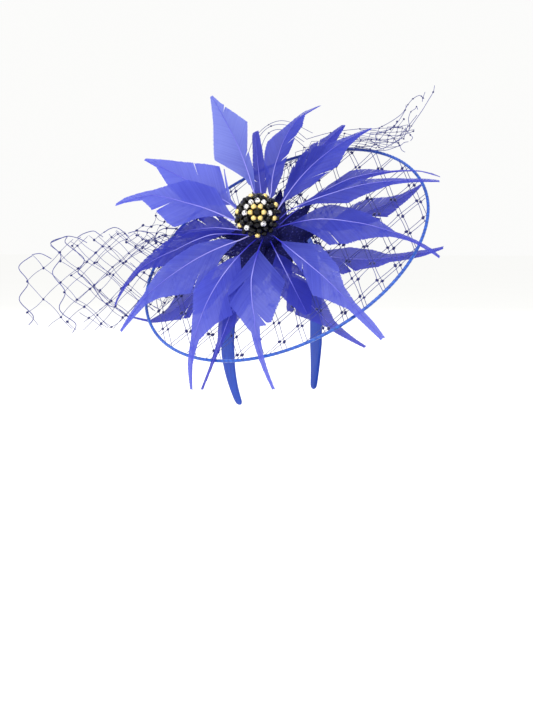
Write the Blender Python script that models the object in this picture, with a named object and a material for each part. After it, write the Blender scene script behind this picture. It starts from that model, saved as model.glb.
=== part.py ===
"""Feather flower fascinator: an oval net hoop on a covered headband, in metres, +Z up.

The wearer faces -Y and the wearer's right is -X. The origin is the headband's inner face at its top,
where it sits on the crown. Hoop, flower and veiling are built in the hoop's own plane, with X along its
long axis, Y along its short axis and Z away from the head, and the plane is then set on the band."""

import math

import bmesh
import bpy
from mathutils import Matrix, Vector

MM = 0.001

# Headband
band_half_width = 74 * MM
band_widest_drop = 94 * MM
band_drop = 143 * MM
band_toe_in = 12 * MM
band_back_set = 12 * MM
band_width = 12 * MM
band_thickness = 2.2 * MM

# Hoop plane: its centre on the head, and how it is turned
hoop_centre = Vector((-55.8, -28.4, -20.5)) * MM
hoop_facing_up = 37.1
hoop_turn_forward = 7.7
hoop_long_axis_rise = 38.2

# Hoop and net
hoop_length = 238.6 * MM
hoop_breadth = 182.6 * MM
hoop_cord = 2.5 * MM
net_strand = 1.0 * MM
net_spacing = 24 * MM

# Flower
flower_x = -5.5 * MM
flower_y = 14 * MM
post_radius = 8 * MM
quill_height = 20 * MM
lower_quill_height = 14.5 * MM
back_quill_height = -2.1 * MM
petal_count = 10
petal_reach = 41 * MM
petal_notch = 17 * MM
petal_thickness = 1.2 * MM
feather_thickness = 1.1 * MM
feather_camber = 0.07
pad_radius = 15 * MM
pad_thickness = 6 * MM
saddle_start = 0.30
saddle_end = 0.42
saddle_overhang = 14 * MM
saddle_below_net = 3.2 * MM

# Beaded centre
dome_y = 15.5 * MM
dome_height = 31.5 * MM
dome_tilt = 32
bead_diameter = 4.4 * MM
bead_ring_radius = 16.6 * MM
bead_sink = 0.8 * MM
dome_foot_radius = 9 * MM

# Veiling
veil_reach = 207 * MM
veil_heading = 156.7
veil_half_width = 50 * MM
inner_veil_reach = 180 * MM
inner_veil_half_width = 45 * MM
inner_veil_lift = 2.4 * MM
wisp_reach = 182 * MM
wisp_heading = 14.3
wisp_half_width = 15 * MM

seat_gap = 0.3 * MM

band_steps = 30
hoop_steps = 44
hoop_sides = 8
petal_steps = 4
dome_sides = 16


def clear_scene():
    for old in list(bpy.data.objects):
        bpy.data.objects.remove(old, do_unlink=True)


def material(name, colour, roughness, metallic=0.0):
    made = bpy.data.materials.new(name)
    made.use_nodes = True
    shader = made.node_tree.nodes["Principled BSDF"]
    shader.inputs["Base Color"].default_value = (*colour, 1)
    shader.inputs["Roughness"].default_value = roughness
    shader.inputs["Metallic"].default_value = metallic
    made.diffuse_color = (*colour, 1)
    return made


def add_object(name, bm, finish, parent=None):
    """One named object from a bmesh, with its faces turned outwards."""
    bmesh.ops.recalc_face_normals(bm, faces=bm.faces[:])
    if bm.calc_volume(signed=True) < 0:
        bmesh.ops.reverse_faces(bm, faces=bm.faces[:])
    mesh = bpy.data.meshes.new(name)
    bm.to_mesh(mesh)
    bm.free()
    mesh.shade_smooth()
    mesh.set_sharp_from_angle(angle=math.radians(40))
    made = bpy.data.objects.new(name, mesh)
    made.data.materials.append(finish)
    bpy.context.scene.collection.objects.link(made)
    made.parent = parent
    return made


def loft(bm, rings, closed_path=False):
    """Skins rings of points with quads, and caps both ends unless the path closes."""
    rows = [[bm.verts.new(point) for point in ring] for ring in rings]
    pairs = zip(rows, rows[1:] + rows[:1]) if closed_path else zip(rows, rows[1:])
    for low, high in pairs:
        for k in range(len(low)):
            after = (k + 1) % len(low)
            bm.faces.new((low[k], low[after], high[after], high[k]))
    if not closed_path:
        bm.faces.new(rows[0])
        bm.faces.new(rows[-1])


def smooth_between(table, share, column):
    """A smooth value of a table's column at a share of its first column."""
    keys = [row[0] for row in table]
    last = len(table) - 1
    k = max(i for i in range(last) if keys[i] <= share or i == 0)
    here, there = table[k], table[k + 1]
    before, after = table[max(k - 1, 0)], table[min(k + 2, last)]
    span = there[0] - here[0]
    t = (share - here[0]) / span
    slope_in = (there[column] - before[column]) / (there[0] - before[0]) * span
    slope_out = (after[column] - here[column]) / (after[0] - here[0]) * span
    return (
        (2 * t**3 - 3 * t**2 + 1) * here[column]
        + (t**3 - 2 * t**2 + t) * slope_in
        + (3 * t**2 - 2 * t**3) * there[column]
        + (t**3 - t**2) * slope_out
    )


def hoop_frame():
    """The hoop plane as an empty: its X, Y and Z are the long axis, the short axis and outwards."""
    up, forward = math.radians(hoop_facing_up), math.radians(hoop_turn_forward)
    outward = Vector((-math.cos(up) * math.cos(forward), -math.cos(up) * math.sin(forward), math.sin(up)))
    level = Vector((0, 0, 1)).cross(outward).normalized()
    long_axis = Matrix.Rotation(math.radians(hoop_long_axis_rise), 3, outward) @ level
    short_axis = outward.cross(long_axis)
    turned = Matrix((long_axis, short_axis, outward)).transposed()
    empty = bpy.data.objects.new("hoop_frame", None)
    bpy.context.scene.collection.objects.link(empty)
    empty.matrix_world = Matrix.Translation(hoop_centre) @ turned.to_4x4()
    bpy.context.view_layer.update()
    return empty


def band_point(share, lift=0.0):
    """The band's path, from its right end at -1 over the crown at 0, and its outward direction."""
    side = -1 if share < 0 else 1
    drop = abs(share)
    quarter = 0.62
    if drop <= quarter:
        angle = drop / quarter * math.pi / 2
        x, z = band_half_width * math.sin(angle), -band_widest_drop * (1 - math.cos(angle))
        outward = Vector((math.sin(angle) / band_half_width, 0, math.cos(angle) / band_widest_drop))
    else:
        below = (drop - quarter) / (1 - quarter)
        x = band_half_width - band_toe_in * below**2
        z = -band_widest_drop - (band_drop - band_widest_drop) * below
        outward = Vector((1, 0, -2 * band_toe_in * below / (band_drop - band_widest_drop)))
    outward.normalize()
    y = band_back_set * math.sin(-z / band_widest_drop * math.pi / 2)
    point = Vector((x, y, z)) + outward * lift
    point.x *= side
    outward.x *= side
    return point, outward


def make_headband(finish):
    """A flat covered band, full width over the crown and narrowing to round ends."""
    bm = bmesh.new()
    rings = []
    for k in range(band_steps + 1):
        share = -math.cos(math.pi * k / band_steps)
        share = 0.55 * share + 0.45 * (2 * k / band_steps - 1)
        taper = min(1.0, 0.5 + 1.6 * (1 - abs(share)))
        end = min(1.0, (1 - abs(share)) / 0.035)
        half = band_width / 2 * taper * math.sqrt(max(0.12, 1 - (1 - end) ** 2))
        point, outward = band_point(share)
        across = Vector((0, 1, 0))
        section = ((-0.82, 0), (0.82, 0), (1, 0.35), (0.86, 1), (-0.86, 1), (-1, 0.35))
        rings.append([point + across * half * w + outward * band_thickness * h for w, h in section])
    loft(bm, rings)
    return add_object("headband", bm, finish)


def make_mount_pad(frame, finish):
    """The hidden felt pad that the hoop and flower are sewn to, with its foot along the band."""
    to_plane = frame.matrix_world.inverted()
    net_under = -(net_strand / 2 + seat_gap)
    bm = bmesh.new()
    bmesh.ops.create_cone(
        bm,
        cap_ends=True,
        segments=24,
        radius1=pad_radius,
        radius2=pad_radius,
        depth=pad_thickness,
        matrix=Matrix.Translation((flower_x, flower_y, net_under - pad_thickness / 2)),
    )
    pad = add_object("mount_pad", bm, finish, frame)
    foot = bmesh.new()
    rings = []
    steps = 6
    for k in range(steps + 1):
        share = -(saddle_start + (saddle_end - saddle_start) * k / steps)
        point, outward = band_point(share, band_thickness + seat_gap)
        ring = []
        for across in (band_width * 0.4, -band_width / 2 - saddle_overhang):
            low = to_plane @ (point + Vector((0, across, 0)))
            ring.append((low, Vector((low.x, low.y, net_under - saddle_below_net))))
        rings.append([ring[0][0], ring[1][0], ring[1][1], ring[0][1]])
    loft(foot, rings)
    cutter = add_object("mount_pad_foot", foot, finish, frame)
    cutter.hide_render = True
    cutter.display_type = "WIRE"
    join = pad.modifiers.new("join foot", "BOOLEAN")
    join.operation = "UNION"
    join.object = cutter
    return pad


def oval(angle, inset=0.0):
    return Vector(((hoop_length / 2 - inset) * math.cos(angle), (hoop_breadth / 2 - inset) * math.sin(angle), 0))


def make_hoop(frame, finish):
    """A wire ring wound with satin cord, bent to an oval."""
    bm = bmesh.new()
    rings = []
    for k in range(hoop_steps):
        angle = 2 * math.pi * k / hoop_steps
        centre = oval(angle)
        outward = Vector((math.cos(angle) * hoop_breadth, math.sin(angle) * hoop_length, 0)).normalized()
        rings.append(
            [
                centre
                + outward * (hoop_cord / 2 * math.cos(turn))
                + Vector((0, 0, hoop_cord / 2 * math.sin(turn)))
                for turn in (2 * math.pi * (j + 0.5) / hoop_sides for j in range(hoop_sides))
            ]
        )
    loft(bm, rings, closed_path=True)
    return add_object("hoop", bm, finish, frame)


def strands_from(bm):
    """Cuts each cell of a sheet open, leaving strands of even width and thickness along its edges."""
    bm.normal_update()
    made = bmesh.ops.inset_individual(bm, faces=bm.faces[:], thickness=net_strand / 2, use_even_offset=True)
    frames = set(made["faces"])
    bmesh.ops.delete(bm, geom=[face for face in bm.faces if face not in frames], context="FACES_ONLY")
    bmesh.ops.translate(bm, verts=bm.verts[:], vec=(0, 0, net_strand / 2))
    bm.normal_update()
    bmesh.ops.solidify(bm, geom=bm.faces[:], thickness=net_strand)


def make_hoop_net(frame, finish):
    """Open diamond net stretched over the hoop and cut through between its strands."""
    bm = bmesh.new()
    edge_inset = hoop_cord / 2 + seat_gap + net_strand / 2
    rim = [bm.verts.new(oval(2 * math.pi * k / 40, edge_inset)) for k in range(40)]
    bm.faces.new(rim)
    for heading in (-42, 48):
        across = Vector((math.cos(math.radians(heading)), math.sin(math.radians(heading)), 0))
        reach = int(hoop_length / 2 / net_spacing) + 1
        for k in range(-reach, reach + 1):
            bmesh.ops.bisect_plane(
                bm,
                geom=bm.verts[:] + bm.edges[:] + bm.faces[:],
                plane_co=across * (k + 0.5) * net_spacing,
                plane_no=across,
            )
    bmesh.ops.remove_doubles(bm, verts=bm.verts[:], dist=net_spacing * 0.2)
    bmesh.ops.dissolve_degenerate(bm, dist=net_strand, edges=bm.edges[:])
    strands_from(bm)
    return add_object("hoop_net", bm, finish, frame)


def make_petal_base(frame, finish):
    """The dark rosette under the feathers: ten pointed petals round the post that holds the quills."""
    bm = bmesh.new()
    net_top = net_strand / 2 + seat_gap
    post_top = dome_height - dome_foot_radius - seat_gap
    around = petal_count * petal_steps
    # Rings from the post's top outwards and back under: share of the petal, height, and 1 on the underside
    profile = ((0, post_top), (0, 4.0 * MM), (0.35, 3.4 * MM), (0.7, 3.0 * MM), (1, 3.6 * MM))
    top = [[] for _ in profile]
    under = [[] for _ in profile]
    for k in range(around):
        angle = 2 * math.pi * k / around
        sway = 1 - abs((k / petal_steps + 0.5) % 1 - 0.5) * 2
        tip = petal_notch + (petal_reach - petal_notch) * sway**1.3
        spoke = Vector((math.cos(angle), math.sin(angle), 0))
        for ring, (share, height) in enumerate(profile):
            radius = post_radius + (tip - post_radius) * share
            ripple = 0.5 * MM * math.sin(petal_count * 3 * angle) * share
            low = max(net_top, height + ripple - petal_thickness)
            place = Vector((flower_x, flower_y, 0)) + spoke * radius
            top[ring].append(place + Vector((0, 0, height + ripple)))
            under[ring].append(place + Vector((0, 0, low)))
    rows = [[bm.verts.new(p) for p in ring] for ring in top + under[:0:-1]]
    for low, high in zip(rows, rows[1:]):
        for k in range(around):
            after = (k + 1) % around
            bm.faces.new((low[k], low[after], high[after], high[k]))
    bm.faces.new(rows[0])
    bm.faces.new(rows[-1])
    return add_object("petal_base", bm, finish, frame)


# Feathers, one row each. turn: degrees from the hoop's long axis; length: from the flower's axis;
# width: of the blade; rise: of the tip seen from the flower; arch: height at half length as a share
# of length; bow: sideways bend as a share of length; roll: degrees; bed: which layer its quill is in.
feather_columns = ("turn", "length", "width", "rise", "arch", "bow", "roll", "bed")
feathers = {
    "feather_01": (82, 151, 40, 5, 0.03, -0.03, 9, "upper"),
    "feather_02": (114, 140, 42, 5, 0.01, -0.01, 1, "lower"),
    "feather_03": (133, 137, 38, 2, 0.04, -0.07, 15, "upper"),
    "feather_04": (174, 132, 28, -1, 0.02, -0.15, 12, "lower"),
    "feather_05": (185, 137, 38, -4, 0.05, -0.08, 15, "upper"),
    "feather_06": (221, 143, 36, -6, 0.05, -0.09, 11, "upper"),
    "feather_07": (246, 139, 48, -8, 0.04, -0.09, 13, "upper"),
    "feather_08": (283, 140, 50, -8, 0.04, 0.01, 13, "upper"),
    "feather_09": (314, 142, 52, -5, 0.04, 0.12, 10, "upper"),
    "feather_10": (342, 139, 38, -3, 0.03, 0.08, 13, "upper"),
    "feather_11": (18, 121, 44, -1, 0.03, 0.09, 13, "upper"),
    "feather_12": (41, 122, 42, 3, 0.03, 0.12, 13, "upper"),
    "feather_13": (70, 107, 20, 2, 0.02, 0.0, 12, "lower"),
    "feather_14": (31, 118, 32, -1, 0.02, 0.05, 12, "lower"),
    "feather_15": (346, 141, 30, -4, 0.02, 0.17, 12, "lower"),
    "feather_16": (266, 84, 38, -8, 0.01, 0.0, 9, "lower"),
    "feather_17": (223, 138, 26, -7, 0.03, 0.02, 12, "lower"),
    "feather_18": (142, 80, 22, -2, 0.02, 0.0, 12, "lower"),
    "feather_19": (174, 125, 26, -1, 0.0, 0.13, 4, "back"),
    "feather_20": (278, 130, 30, -2, 0.0, -0.07, 4, "back"),
    "feather_21": (323, 137, 30, -2, 0.0, -0.1, 4, "back"),
    "feather_22": (353, 126, 32, -2, 0.0, -0.06, 4, "back"),
}

# Share of a feather's length, and its half width there as a share of the blade's half width
feather_outline = (
    (0.00, 0.06),
    (0.10, 0.05),
    (0.20, 0.30),
    (0.34, 0.82),
    (0.48, 1.00),
    (0.61, 0.86),
    (0.72, 0.46),
    (0.82, 0.20),
    (0.92, 0.10),
    (1.00, 0.05),
)


def make_feather(name, row, frame, finish):
    """One trimmed feather: a bare quill, a blade sloping to both sides of its shaft, and a long thin tail."""
    spec = dict(zip(feather_columns, row))
    length, half = spec["length"] * MM, spec["width"] * MM / 2
    height = {"upper": quill_height, "lower": lower_quill_height, "back": back_quill_height}[spec["bed"]]
    start = (pad_radius if spec["bed"] == "back" else post_radius) + seat_gap
    turn, rise, roll = (math.radians(spec[key]) for key in ("turn", "rise", "roll"))
    along = Vector((math.cos(turn), math.sin(turn), 0))
    side = Vector((-math.sin(turn), math.cos(turn), 0))
    lateral = side * math.cos(roll) - Vector((0, 0, math.sin(roll)))
    normal = side * math.sin(roll) + Vector((0, 0, math.cos(roll)))
    bm = bmesh.new()
    rings = []
    for share, width in feather_outline:
        reach = start + (length * math.cos(rise) - start) * share
        middle = 4 * share * (1 - share)
        shaft = (
            Vector((flower_x, flower_y, height + reach * math.tan(rise) + spec["arch"] * length * middle))
            + along * reach
            + side * spec["bow"] * length * middle
        )
        wide = max(half * width, 0.8 * MM)
        edge = shaft - normal * feather_camber * wide
        thick, thin = normal * feather_thickness * 0.65, normal * feather_thickness * 0.4
        rings.append(
            [
                edge - lateral * wide + thin,
                shaft + thick,
                edge + lateral * wide + thin,
                edge + lateral * wide - thin,
                shaft - thick,
                edge - lateral * wide - thin,
            ]
        )
    loft(bm, rings)
    return add_object(name, bm, finish, frame)


# Beads of the centre by ring: tilt from the dome's axis in degrees, how many sit round it, and the
# first one's turn in degrees
bead_rings = ((0, 1, 0), (17.5, 6, 30), (35, 12, 0), (52.5, 16, 0), (70, 18, 0))
# Turns in degrees, from the long axis, of the beads that aren't black
gold_turns = {1: (30, 90, 150, 210, 270, 330), 3: (315,), 4: (0, 40, 80, 140, 180, 240)}
clear_turns = {2: (30, 60, 90, 120, 150, 270, 330), 3: (202.5,)}


def bead_place(ring, turn, radius):
    tilt = math.radians(bead_rings[ring][0])
    return Vector((math.sin(tilt) * math.cos(turn), math.sin(tilt) * math.sin(turn), math.cos(tilt))) * radius


def add_bead(bm, place):
    bmesh.ops.create_uvsphere(
        bm, u_segments=10, v_segments=4, radius=bead_diameter / 2, matrix=Matrix.Translation(place)
    )


def make_beaded_centre(frame, black, gold, clear):
    """A button covered in black beads, with gold and clear beads of their own among them."""
    tilted = Matrix.Translation((flower_x, dome_y, dome_height)) @ Matrix.Rotation(
        math.radians(dome_tilt), 4, "X"
    )
    core = bead_ring_radius - bead_diameter / 2 - seat_gap
    profile = [(core * math.sin(a), core * math.cos(a)) for a in (math.radians(15 * k) for k in range(7))]
    profile += [(core, -0.12 * core)]
    profile += [
        (dome_foot_radius * math.cos(a), -dome_foot_radius * math.sin(a))
        for a in (math.radians(d) for d in (25, 55, 90))
    ]
    bm = bmesh.new()
    line = [bm.verts.new((r, 0, z)) for r, z in profile]
    edges = [bm.edges.new(pair) for pair in zip(line, line[1:])]
    bmesh.ops.spin(
        bm, geom=line + edges, axis=(0, 0, 1), cent=(0, 0, 0), angle=2 * math.pi, steps=dome_sides, use_merge=True
    )
    bmesh.ops.remove_doubles(bm, verts=bm.verts[:], dist=0.01 * MM)
    dome = add_object("bead_dome", bm, black, frame)
    dome.matrix_local = tilted
    beads = bmesh.new()
    coloured = []
    for ring, (_, count, first_turn) in enumerate(bead_rings):
        for k in range(count):
            degrees = first_turn + 360 * k / count
            turn = math.radians(degrees)
            if degrees in gold_turns.get(ring, ()):
                coloured.append(("gold", gold, bead_place(ring, turn, bead_ring_radius)))
            elif degrees in clear_turns.get(ring, ()):
                coloured.append(("clear", clear, bead_place(ring, turn, bead_ring_radius)))
            else:
                add_bead(beads, bead_place(ring, turn, bead_ring_radius - seat_gap - bead_sink))
    cutter = add_object("black_beads", beads, black, frame)
    cutter.matrix_local = tilted
    cutter.hide_render = True
    cutter.display_type = "WIRE"
    join = dome.modifiers.new("sew beads on", "BOOLEAN")
    join.operation = "UNION"
    join.object = cutter
    counts = {"gold": 0, "clear": 0}
    for kind, finish, place in coloured:
        counts[kind] += 1
        bm = bmesh.new()
        add_bead(bm, place)
        bead = add_object(f"{kind}_bead_{counts[kind]:02d}", bm, finish, frame)
        bead.matrix_local = tilted


# Veiling strips: share of the reach; sideways offset as a share of the reach; half width as a share
# of the strip's; height over the hoop's plane as a share of the reach
side_veil_sections = (
    (0.20, 0.00, 0.30, 0.012),
    (0.42, 0.00, 0.78, 0.011),
    (0.60, 0.00, 0.95, 0.012),
    (0.76, 0.01, 1.00, 0.025),
    (1.00, 0.00, 0.72, 0.060),
)
wisp_sections = (
    (0.22, 0.17, 0.80, 0.014),
    (0.43, 0.235, 0.90, 0.0125),
    (0.58, 0.15, 1.00, 0.0125),
    (0.69, 0.03, 0.90, 0.018),
    (0.82, -0.03, 0.55, 0.040),
    (0.925, -0.01, 0.28, 0.065),
    (1.00, 0.00, 0.14, 0.085),
)


def net_sheet(bm, columns, rows, place):
    """A sheet of diamond cells: place gives the point at a column and row."""
    knots = {
        (i, j): bm.verts.new(place(i, j))
        for i in range(columns + 1)
        for j in range(rows + 1)
        if (i + j) % 2 == 0
    }
    for i in range(columns + 1):
        for j in range(rows + 1):
            if (i + j) % 2:
                around = [knots.get(k) for k in ((i + 1, j), (i, j + 1), (i - 1, j), (i, j - 1))]
                around = [knot for knot in around if knot]
                if len(around) > 2:
                    bm.faces.new(around)


def make_veil(name, sections, reach, heading, half_width, lift, columns, rows, frame, finish):
    """A strip of veiling from beside the flower outwards, raised by lift where it lies on another."""
    turn = math.radians(heading)
    along = Vector((math.cos(turn), math.sin(turn), 0))
    side = Vector((-math.sin(turn), math.cos(turn), 0))
    first, last = sections[0][0], sections[-1][0]

    def place(i, j):
        share = first + (last - first) * i / columns
        offset, width, height = (smooth_between(sections, share, k) for k in (1, 2, 3))
        across = 2 * j / rows - 1
        spot = Vector((flower_x, flower_y, height * reach + lift))
        return spot + along * reach * share + side * (offset * reach + across * width * half_width)

    bm = bmesh.new()
    net_sheet(bm, columns, rows, place)
    strands_from(bm)
    return add_object(name, bm, finish, frame)


def main():
    clear_scene()
    satin = material("satin blue", (0.012, 0.09, 0.66), 0.38)
    cord = material("hoop cord blue", (0.01, 0.15, 0.68), 0.35)
    feather = material("feather violet blue", (0.061, 0.07, 0.61), 0.6)
    navy = material("petal navy", (0.004, 0.004, 0.045), 0.75)
    netting = material("net navy", (0.04, 0.05, 0.22), 0.6)
    felt = material("pad blue felt", (0.01, 0.05, 0.4), 0.9)
    black = material("black bead", (0.004, 0.004, 0.008), 0.15)
    gold = material("gold bead", (0.83, 0.65, 0.23), 0.2, 1.0)
    clear = material("clear bead", (0.8, 0.82, 0.86), 0.08)

    make_headband(satin)
    frame = hoop_frame()
    make_mount_pad(frame, felt)
    make_hoop(frame, cord)
    make_hoop_net(frame, netting)
    make_petal_base(frame, navy)
    for name, row in feathers.items():
        make_feather(name, row, frame, feather)
    make_beaded_centre(frame, black, gold, clear)
    for name, reach, half_width, lift in (
        ("side_veil", veil_reach, veil_half_width, 0),
        ("side_veil_inner", inner_veil_reach, inner_veil_half_width, inner_veil_lift),
    ):
        make_veil(name, side_veil_sections, reach, veil_heading, half_width, lift, 8, 6, frame, netting)
    make_veil("top_wisp", wisp_sections, wisp_reach, wisp_heading, wisp_half_width, 0, 8, 2, frame, netting)


main()
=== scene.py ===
"""Feather flower fascinator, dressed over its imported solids. Metres, +Z up, the wearer faces -Y."""

import math
import random

import bmesh
import bpy
from mathutils import Matrix, Vector


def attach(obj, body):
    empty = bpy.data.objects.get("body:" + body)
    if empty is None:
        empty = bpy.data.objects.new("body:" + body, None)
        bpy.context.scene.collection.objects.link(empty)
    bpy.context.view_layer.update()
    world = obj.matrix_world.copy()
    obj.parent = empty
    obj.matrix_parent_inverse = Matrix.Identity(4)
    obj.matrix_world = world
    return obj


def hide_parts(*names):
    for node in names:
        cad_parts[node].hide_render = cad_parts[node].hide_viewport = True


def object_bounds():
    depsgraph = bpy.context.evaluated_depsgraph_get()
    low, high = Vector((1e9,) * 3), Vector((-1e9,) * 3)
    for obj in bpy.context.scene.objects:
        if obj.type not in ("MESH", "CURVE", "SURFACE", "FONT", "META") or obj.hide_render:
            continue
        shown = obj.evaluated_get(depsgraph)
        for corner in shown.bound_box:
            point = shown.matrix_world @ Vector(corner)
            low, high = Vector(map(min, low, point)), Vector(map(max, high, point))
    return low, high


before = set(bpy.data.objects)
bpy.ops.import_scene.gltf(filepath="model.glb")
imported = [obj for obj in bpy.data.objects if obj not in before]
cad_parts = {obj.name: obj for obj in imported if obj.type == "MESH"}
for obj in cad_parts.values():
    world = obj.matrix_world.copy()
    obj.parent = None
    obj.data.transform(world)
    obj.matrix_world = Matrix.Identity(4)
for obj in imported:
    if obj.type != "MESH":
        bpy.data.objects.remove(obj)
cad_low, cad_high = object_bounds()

MM = 0.001

# The view: from the wearer's right and a little in front, 5 degrees above level, at arm's length and a
# half. The pale floor lies below the lowest feather tips, and three large soft lamps light the flower.
view_turn, view_rise = math.radians(300), math.radians(5)
towards_viewer = Vector((
    math.sin(view_turn) * math.cos(view_rise),
    -math.cos(view_turn) * math.cos(view_rise),
    math.sin(view_rise),
))
camera = bpy.data.objects.new("camera", bpy.data.cameras.new("camera"))
bpy.context.scene.collection.objects.link(camera)
camera.data.lens, camera.data.sensor_width = 61, 36
camera.location = Vector((-16.8, 10.3, -106.9)) * MM + towards_viewer
camera.rotation_mode = "QUATERNION"
camera.rotation_quaternion = (-towards_viewer).to_track_quat("-Z", "Y")
bpy.context.scene.camera = camera
bpy.context.scene.view_settings.view_transform = "Standard"


class Reading:
    """One socket of a finish. Sums written on it add their Math nodes."""

    def __init__(self, finish, socket):
        self.finish, self.socket = finish, socket

    def sum(self, operation, *terms):
        return self.finish.node("ShaderNodeMath", {"operation": operation}, dict(enumerate(terms)))

    def __add__(self, other):
        return self.sum("ADD", self, other)

    def __sub__(self, other):
        return self.sum("SUBTRACT", self, other)

    def __rsub__(self, other):
        return self.sum("SUBTRACT", other, self)

    def __mul__(self, other):
        return self.sum("MULTIPLY", self, other)

    __radd__, __rmul__ = __add__, __mul__


class Finish:
    """A material and the nodes that feed its Principled shader, whose own sockets hold the fixed values."""

    def __init__(self, name, fixed):
        self.material = bpy.data.materials.new(name)
        self.material.use_nodes = True
        self.tree = self.material.node_tree
        self.shader = self.tree.nodes["Principled BSDF"]
        self.feed(self.shader, fixed)

    def feed(self, node, sockets):
        for key, value in sockets.items():
            if isinstance(value, Reading):
                self.tree.links.new(value.socket, node.inputs[key])
            else:
                node.inputs[key].default_value = value

    def node(self, kind, settings, sockets, output=0):
        made = self.tree.nodes.new(kind)
        for key, value in settings.items():
            if key == "stops":
                ramp = made.color_ramp
                for spare in list(ramp.elements)[len(value):]:
                    ramp.elements.remove(spare)
                for k, (place, colour) in enumerate(value):
                    stop = ramp.elements[k] if k < len(ramp.elements) else ramp.elements.new(place)
                    stop.position, stop.color = place, (*colour, 1)
            else:
                setattr(made, key, value)
        self.feed(made, sockets)
        return Reading(self, made.outputs[output])

    def grain(self, scale, detail=2.0, at=None, stretch=(1, 1, 1)):
        """Soft noise from 0 to 1 on the piece's own coordinates, stretched where the grain is long."""
        where = at or self.node("ShaderNodeTexCoord", {}, {}, "Object")
        where = self.node("ShaderNodeMapping", {}, {"Vector": where, "Scale": stretch})
        return self.node("ShaderNodeTexNoise", {}, {"Vector": where, "Scale": scale, "Detail": detail})

    def layer(self, name):
        """A value that the shape carries from point to point."""
        return self.node("ShaderNodeAttribute", {"attribute_name": name}, {}, "Fac")

    def blend(self, share, low, high):
        return self.node(
            "ShaderNodeMix", {"data_type": "RGBA"}, {0: share, 6: tint(low), 7: tint(high)}, 2
        )

    def relief(self, height, depth, strength=1.0):
        return self.node("ShaderNodeBump", {}, {"Height": height, "Distance": depth, "Strength": strength})


def tint(colour):
    """A colour for a socket from its red, green and blue out of 255, as the eye reads them."""
    if isinstance(colour, Reading):
        return colour
    return (*((c / 255 / 12.92 if c < 11 else ((c / 255 + 0.055) / 1.055) ** 2.4) for c in colour), 1)


floor_shape = bmesh.new()
bmesh.ops.create_grid(floor_shape, x_segments=1, y_segments=1, size=30)
bmesh.ops.translate(floor_shape, verts=floor_shape.verts[:], vec=(0, 0, cad_low.z - 30 * MM))
floor_mesh = bpy.data.meshes.new("floor")
floor_shape.to_mesh(floor_mesh)
floor = bpy.data.objects.new("floor", floor_mesh)
bpy.context.scene.collection.objects.link(floor)
floor_paint = Finish("pale floor", {"Roughness": 1.0, "Specular IOR Level": 0.0})
floor_paint.feed(floor_paint.shader, {
    "Base Color": floor_paint.blend(floor_paint.grain(3.0), (252, 252, 251), (254, 254, 253)),
})
floor_mesh.materials.append(floor_paint.material)

world = bpy.data.worlds.new("studio")
world.use_nodes = True
world.node_tree.nodes["Background"].inputs["Color"].default_value = (1.0, 1.0, 0.99, 1)
world.node_tree.nodes["Background"].inputs["Strength"].default_value = 0.97
bpy.context.scene.world = world

disc_middle = Vector((-55.8, -28.4, -20.5)) * MM
lamps = {
    "key lamp": ((-1.3, -0.4, 1.3), 0.9, 14),
    "side lamp": ((-1.0, 0.9, 0.4), 0.8, 5),
    "back lamp": ((1.0, 0.4, 1.1), 0.9, 8),
}
for name, (place, size, power) in lamps.items():
    lamp = bpy.data.objects.new(name, bpy.data.lights.new(name, "AREA"))
    lamp.data.size, lamp.data.energy = size, power
    lamp.location = disc_middle + Vector(place)
    lamp.rotation_mode = "QUATERNION"
    lamp.rotation_quaternion = Vector(place).to_track_quat("Z", "Y")
    bpy.context.scene.collection.objects.link(lamp)


# Headband: a spring steel strip 12 mm wide, narrowing to round ends, folded into cobalt blue satin that
# is glued down inside. The satin's sheen runs along the band and it has faint pulls across it.
band_half_width, band_widest_drop, band_drop = 74 * MM, 94 * MM, 143 * MM
band_toe_in, band_back_set = 12 * MM, 12 * MM
band_width, band_thickness = 12 * MM, 2.2 * MM
crown_to_ear = 0.62


def set_piece(name, shape, finishes, slot, stands_for=(), plane=None):
    """A finished piece on the head: its shape set in its plane, its finishes, and the nodes it stands for."""
    if plane is not None:
        shape.transform(plane)
    mesh = bpy.data.meshes.new(name)
    shape.to_mesh(mesh)
    shape.free()
    mesh.shade_smooth()
    piece = bpy.data.objects.new(name, mesh)
    bpy.context.scene.collection.objects.link(piece)
    for finish in finishes:
        mesh.materials.append(finish.material)
    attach(piece, "root")
    if stands_for:
        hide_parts(*stands_for)
    return piece


def band_path(share):
    """The band's inner face from its right end at -1 over the crown at 0, and its outward direction."""
    drop = abs(share)
    if drop <= crown_to_ear:
        angle = drop / crown_to_ear * math.pi / 2
        x, z = band_half_width * math.sin(angle), -band_widest_drop * (1 - math.cos(angle))
        outward = Vector((math.sin(angle) / band_half_width, 0, math.cos(angle) / band_widest_drop))
    else:
        below = (drop - crown_to_ear) / (1 - crown_to_ear)
        x = band_half_width - band_toe_in * below**2
        z = -band_widest_drop - (band_drop - band_widest_drop) * below
        outward = Vector((1, 0, -2 * band_toe_in * below / (band_drop - band_widest_drop)))
    outward.normalize()
    y = band_back_set * math.sin(-z / band_widest_drop * math.pi / 2)
    side = -1 if share < 0 else 1
    return Vector((x * side, y, z)), Vector((outward.x * side, 0, outward.z))


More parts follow.
